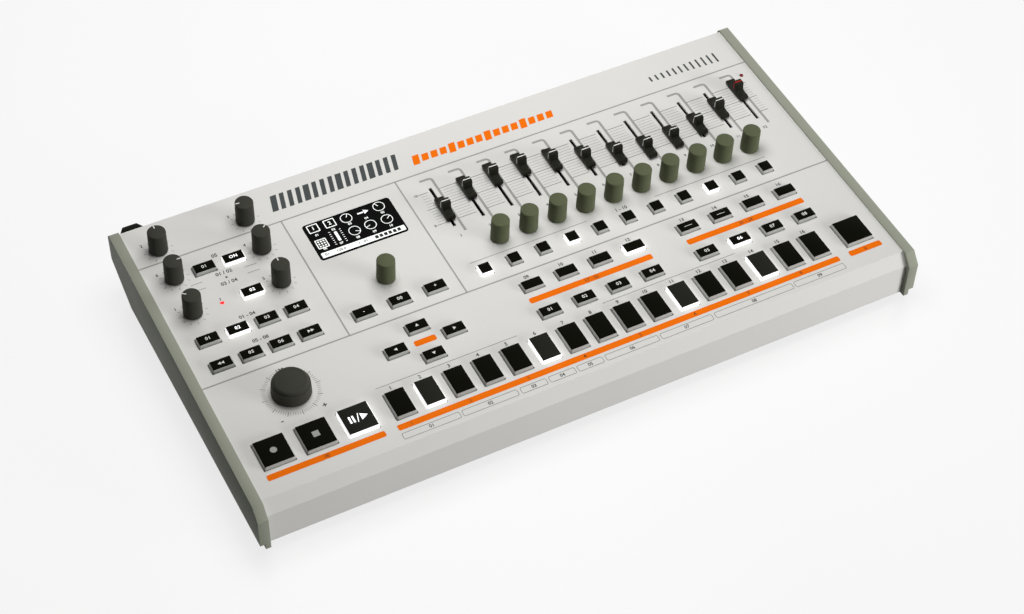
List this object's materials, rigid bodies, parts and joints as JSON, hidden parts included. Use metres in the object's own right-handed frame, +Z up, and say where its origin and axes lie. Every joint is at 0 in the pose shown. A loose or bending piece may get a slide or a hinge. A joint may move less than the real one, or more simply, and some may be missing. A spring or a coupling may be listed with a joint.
{
  "type": "drum machine",
  "caption": "Desktop drum machine: sloping grey case between end cheeks, with lit keys, push buttons, knobs, level faders and a small display.",
  "frame": {"origin": "centre of the box's base, on the surface that the rubber feet stand on", "axes": "+X to the player's right, +Y away from the player to the rear sockets, +Z up"},
  "size_m": [0.498, 0.265, 0.069],
  "materials": {
    "case_paint": "satin light grey",
    "plate_paint": "satin dark grey",
    "rear_paint": "satin black",
    "cheek_plastic": "fine moulded texture, grey green",
    "circuit_board": "solder mask",
    "switch_plastic": "moulded",
    "pot_metal": "plain",
    "fader_steel": "plain",
    "display_can": "moulded",
    "display_glass": null,
    "socket_plastic": "moulded",
    "socket_metal": "plated nuts and plug shells",
    "hook_plastic": "moulded",
    "foot_rubber": "plain",
    "screw_steel": "blackened",
    "rocker_plastic": "moulded",
    "button_cap": "smooth black",
    "button_skirt": "smoked clear",
    "button_glow": "clear, lit white from inside",
    "dark_knob": "fine moulded texture",
    "green_knob": "fine moulded texture",
    "fader_cap": "moulded",
    "white_mark": "printed",
    "red_mark": "printed",
    "grey_print": "screen printed",
    "orange_print": "screen printed",
    "red_lamp": "tinted lens"
  },
  "bodies": {
    "root": {"top_case": "case_paint", "bottom_plate": "plate_paint", "rear_panel": "rear_paint", "left_cheek": "cheek_plastic", "right_cheek": "cheek_plastic", "control_board": "circuit_board", "main_board": "circuit_board", "key_switches": "switch_plastic", "pot_bodies": "pot_metal", "fader_bodies": "fader_steel", "display_module": "display_can", "display_window": "display_glass", "rear_sockets": "socket_plastic", "cord_hook": "hook_plastic", "rubber_feet": "foot_rubber", "case_screws": "screw_steel"},
    "record_button": {"record_button": "button_cap"},
    "stop_button": {"stop_button": "button_cap"},
    "play_button": {"play_button": "button_cap"},
    "tap_button": {"tap_button": "button_cap"},
    "step_keys_1_to_8": {"step_keys_1_to_8": "button_cap"},
    "step_keys_9_to_16": {"step_keys_9_to_16": "button_cap"},
    "filter_buttons": {"filter_buttons": "button_cap"},
    "pattern_buttons": {"pattern_buttons": "button_cap"},
    "menu_buttons": {"menu_buttons": "button_cap"},
    "voice_select_buttons": {"voice_select_buttons": "button_cap"},
    "arrow_buttons": {"arrow_buttons": "button_cap"},
    "edit_buttons": {"edit_buttons": "button_cap"},
    "mode_buttons": {"mode_buttons": "button_cap"},
    "main_volume_knob": {"main_volume_knob": "dark_knob"},
    "swing_knob": {"swing_knob": "dark_knob"},
    "accent_knob": {"accent_knob": "dark_knob"},
    "phones_knob": {"phones_knob": "dark_knob"},
    "resonance_knob": {"resonance_knob": "dark_knob"},
    "send_knob": {"send_knob": "dark_knob"},
    "tempo_knob": {"tempo_knob": "dark_knob"},
    "data_knob": {"data_knob": "green_knob"},
    "voice_knob_01": {"voice_knob_01": "green_knob"},
    "voice_knob_02": {"voice_knob_02": "green_knob"},
    "voice_knob_03": {"voice_knob_03": "green_knob"},
    "voice_knob_04": {"voice_knob_04": "green_knob"},
    "voice_knob_05": {"voice_knob_05": "green_knob"},
    "voice_knob_06": {"voice_knob_06": "green_knob"},
    "voice_knob_07": {"voice_knob_07": "green_knob"},
    "voice_knob_08": {"voice_knob_08": "green_knob"},
    "voice_knob_09": {"voice_knob_09": "green_knob"},
    "voice_knob_10": {"voice_knob_10": "green_knob"},
    "level_fader_01": {"level_fader_01": "fader_cap"},
    "level_fader_02": {"level_fader_02": "fader_cap"},
    "level_fader_03": {"level_fader_03": "fader_cap"},
    "level_fader_04": {"level_fader_04": "fader_cap"},
    "level_fader_05": {"level_fader_05": "fader_cap"},
    "level_fader_06": {"level_fader_06": "fader_cap"},
    "level_fader_07": {"level_fader_07": "fader_cap"},
    "level_fader_08": {"level_fader_08": "fader_cap"},
    "level_fader_09": {"level_fader_09": "fader_cap"},
    "level_fader_10": {"level_fader_10": "fader_cap"},
    "level_fader_11": {"level_fader_11": "fader_cap"},
    "level_fader_12": {"level_fader_12": "fader_cap"},
    "power_rocker": {"power_rocker": "rocker_plastic"}
  },
  "joints": [
    {"name": "record_button_press", "type": "slide", "parent": "root", "child": "record_button", "axis": [0, -0.0454, 0.999], "range_m": [-0.001, 0], "stiffness_N_per_m": 400, "springref_m": 0.0015},
    {"name": "stop_button_press", "type": "slide", "parent": "root", "child": "stop_button", "axis": [0, -0.0454, 0.999], "range_m": [-0.001, 0], "stiffness_N_per_m": 400, "springref_m": 0.0015},
    {"name": "play_button_press", "type": "slide", "parent": "root", "child": "play_button", "axis": [0, -0.0454, 0.999], "range_m": [-0.001, 0], "stiffness_N_per_m": 400, "springref_m": 0.0015},
    {"name": "tap_button_press", "type": "slide", "parent": "root", "child": "tap_button", "axis": [0, -0.0454, 0.999], "range_m": [-0.001, 0], "stiffness_N_per_m": 400, "springref_m": 0.0015},
    {"name": "step_keys_1_to_8_press", "type": "slide", "parent": "root", "child": "step_keys_1_to_8", "axis": [0, -0.0454, 0.999], "range_m": [-0.001, 0], "stiffness_N_per_m": 400, "springref_m": 0.0015},
    {"name": "step_keys_9_to_16_press", "type": "slide", "parent": "root", "child": "step_keys_9_to_16", "axis": [0, -0.0454, 0.999], "range_m": [-0.001, 0], "stiffness_N_per_m": 400, "springref_m": 0.0015},
    {"name": "filter_buttons_press", "type": "slide", "parent": "root", "child": "filter_buttons", "axis": [0, -0.0454, 0.999], "range_m": [-0.001, 0], "stiffness_N_per_m": 400, "springref_m": 0.0015},
    {"name": "pattern_buttons_press", "type": "slide", "parent": "root", "child": "pattern_buttons", "axis": [0, -0.0454, 0.999], "range_m": [-0.001, 0], "stiffness_N_per_m": 400, "springref_m": 0.0015},
    {"name": "menu_buttons_press", "type": "slide", "parent": "root", "child": "menu_buttons", "axis": [0, -0.0454, 0.999], "range_m": [-0.001, 0], "stiffness_N_per_m": 400, "springref_m": 0.0015},
    {"name": "voice_select_buttons_press", "type": "slide", "parent": "root", "child": "voice_select_buttons", "axis": [0, -0.0454, 0.999], "range_m": [-0.001, 0], "stiffness_N_per_m": 400, "springref_m": 0.0015},
    {"name": "arrow_buttons_press", "type": "slide", "parent": "root", "child": "arrow_buttons", "axis": [0, -0.0454, 0.999], "range_m": [-0.001, 0], "stiffness_N_per_m": 400, "springref_m": 0.0015},
    {"name": "edit_buttons_press", "type": "slide", "parent": "root", "child": "edit_buttons", "axis": [0, -0.0454, 0.999], "range_m": [-0.001, 0], "stiffness_N_per_m": 400, "springref_m": 0.0015},
    {"name": "mode_buttons_press", "type": "slide", "parent": "root", "child": "mode_buttons", "axis": [0, -0.0454, 0.999], "range_m": [-0.001, 0], "stiffness_N_per_m": 400, "springref_m": 0.0015},
    {"name": "main_volume_knob_turn", "type": "hinge", "parent": "root", "child": "main_volume_knob", "pos_m": [-0.2225, 0.09987, 0.0499], "axis": [0, -0.0454, 0.999], "range_deg": [-150, 150]},
    {"name": "swing_knob_turn", "type": "hinge", "parent": "root", "child": "swing_knob", "pos_m": [-0.2225, 0.0707, 0.04857], "axis": [0, -0.0454, 0.999], "range_deg": [-60, 240]},
    {"name": "accent_knob_turn", "type": "hinge", "parent": "root", "child": "accent_knob", "pos_m": [-0.2225, 0.03734, 0.04706], "axis": [0, -0.0454, 0.999], "range_deg": [-203, 97]},
    {"name": "phones_knob_turn", "type": "hinge", "parent": "root", "child": "phones_knob", "pos_m": [-0.1585, 0.09987, 0.0499], "axis": [0, -0.0454, 0.999], "range_deg": [-233, 67]},
    {"name": "resonance_knob_turn", "type": "hinge", "parent": "root", "child": "resonance_knob", "pos_m": [-0.1585, 0.0707, 0.04857], "axis": [0, -0.0454, 0.999], "range_deg": [-95, 205]},
    {"name": "send_knob_turn", "type": "hinge", "parent": "root", "child": "send_knob", "pos_m": [-0.1585, 0.03734, 0.04706], "axis": [0, -0.0454, 0.999], "range_deg": [-150, 150]},
    {"name": "tempo_knob_turn", "type": "hinge", "parent": "root", "child": "tempo_knob", "pos_m": [-0.1903, -0.05177, 0.04301], "axis": [0, -0.0454, 0.999], "range_deg": [-150, 150]},
    {"name": "data_knob_turn", "type": "hinge", "parent": "root", "child": "data_knob", "pos_m": [-0.0932, 0.01026, 0.04583], "axis": [0, -0.0454, 0.999], "continuous": true},
    {"name": "voice_knob_01_turn", "type": "hinge", "parent": "root", "child": "voice_knob_01", "pos_m": [-0.0064, 0.00966, 0.0458], "axis": [0, -0.0454, 0.999], "continuous": true},
    {"name": "voice_knob_02_turn", "type": "hinge", "parent": "root", "child": "voice_knob_02", "pos_m": [0.01619, 0.00966, 0.0458], "axis": [0, -0.0454, 0.999], "continuous": true},
    {"name": "voice_knob_03_turn", "type": "hinge", "parent": "root", "child": "voice_knob_03", "pos_m": [0.03878, 0.00966, 0.0458], "axis": [0, -0.0454, 0.999], "continuous": true},
    {"name": "voice_knob_04_turn", "type": "hinge", "parent": "root", "child": "voice_knob_04", "pos_m": [0.06137, 0.00966, 0.0458], "axis": [0, -0.0454, 0.999], "continuous": true},
    {"name": "voice_knob_05_turn", "type": "hinge", "parent": "root", "child": "voice_knob_05", "pos_m": [0.08396, 0.00966, 0.0458], "axis": [0, -0.0454, 0.999], "continuous": true},
    {"name": "voice_knob_06_turn", "type": "hinge", "parent": "root", "child": "voice_knob_06", "pos_m": [0.10655, 0.00966, 0.0458], "axis": [0, -0.0454, 0.999], "continuous": true},
    {"name": "voice_knob_07_turn", "type": "hinge", "parent": "root", "child": "voice_knob_07", "pos_m": [0.12914, 0.00966, 0.0458], "axis": [0, -0.0454, 0.999], "continuous": true},
    {"name": "voice_knob_08_turn", "type": "hinge", "parent": "root", "child": "voice_knob_08", "pos_m": [0.15173, 0.00966, 0.0458], "axis": [0, -0.0454, 0.999], "continuous": true},
    {"name": "voice_knob_09_turn", "type": "hinge", "parent": "root", "child": "voice_knob_09", "pos_m": [0.17432, 0.00966, 0.0458], "axis": [0, -0.0454, 0.999], "continuous": true},
    {"name": "voice_knob_10_turn", "type": "hinge", "parent": "root", "child": "voice_knob_10", "pos_m": [0.19691, 0.00966, 0.0458], "axis": [0, -0.0454, 0.999], "continuous": true},
    {"name": "level_fader_01_slide", "type": "slide", "parent": "root", "child": "level_fader_01", "axis": [0, 0.999, 0.0454], "range_m": [-0.0097, 0.0203]},
    {"name": "level_fader_02_slide", "type": "slide", "parent": "root", "child": "level_fader_02", "axis": [0, 0.999, 0.0454], "range_m": [-0.0214, 0.0086]},
    {"name": "level_fader_03_slide", "type": "slide", "parent": "root", "child": "level_fader_03", "axis": [0, 0.999, 0.0454], "range_m": [-0.025, 0.005]},
    {"name": "level_fader_04_slide", "type": "slide", "parent": "root", "child": "level_fader_04", "axis": [0, 0.999, 0.0454], "range_m": [-0.025, 0.005]},
    {"name": "level_fader_05_slide", "type": "slide", "parent": "root", "child": "level_fader_05", "axis": [0, 0.999, 0.0454], "range_m": [-0.0197, 0.0103]},
    {"name": "level_fader_06_slide", "type": "slide", "parent": "root", "child": "level_fader_06", "axis": [0, 0.999, 0.0454], "range_m": [-0.012, 0.018]},
    {"name": "level_fader_07_slide", "type": "slide", "parent": "root", "child": "level_fader_07", "axis": [0, 0.999, 0.0454], "range_m": [-0.0057, 0.0243]},
    {"name": "level_fader_08_slide", "type": "slide", "parent": "root", "child": "level_fader_08", "axis": [0, 0.999, 0.0454], "range_m": [-0.0017, 0.0283]},
    {"name": "level_fader_09_slide", "type": "slide", "parent": "root", "child": "level_fader_09", "axis": [0, 0.999, 0.0454], "range_m": [-0.0026, 0.0274]},
    {"name": "level_fader_10_slide", "type": "slide", "parent": "root", "child": "level_fader_10", "axis": [0, 0.999, 0.0454], "range_m": [-0.0063, 0.0237]},
    {"name": "level_fader_11_slide", "type": "slide", "parent": "root", "child": "level_fader_11", "axis": [0, 0.999, 0.0454], "range_m": [-0.0138, 0.0162]},
    {"name": "level_fader_12_slide", "type": "slide", "parent": "root", "child": "level_fader_12", "axis": [0, 0.999, 0.0454], "range_m": [-0.0243, 0.0057]},
    {"name": "power_rocker_tip", "type": "hinge", "parent": "root", "child": "power_rocker", "pos_m": [-0.182, 0.12215, 0.0235], "axis": [1, 0, 0], "range_deg": [-14, 0]}
  ]
}
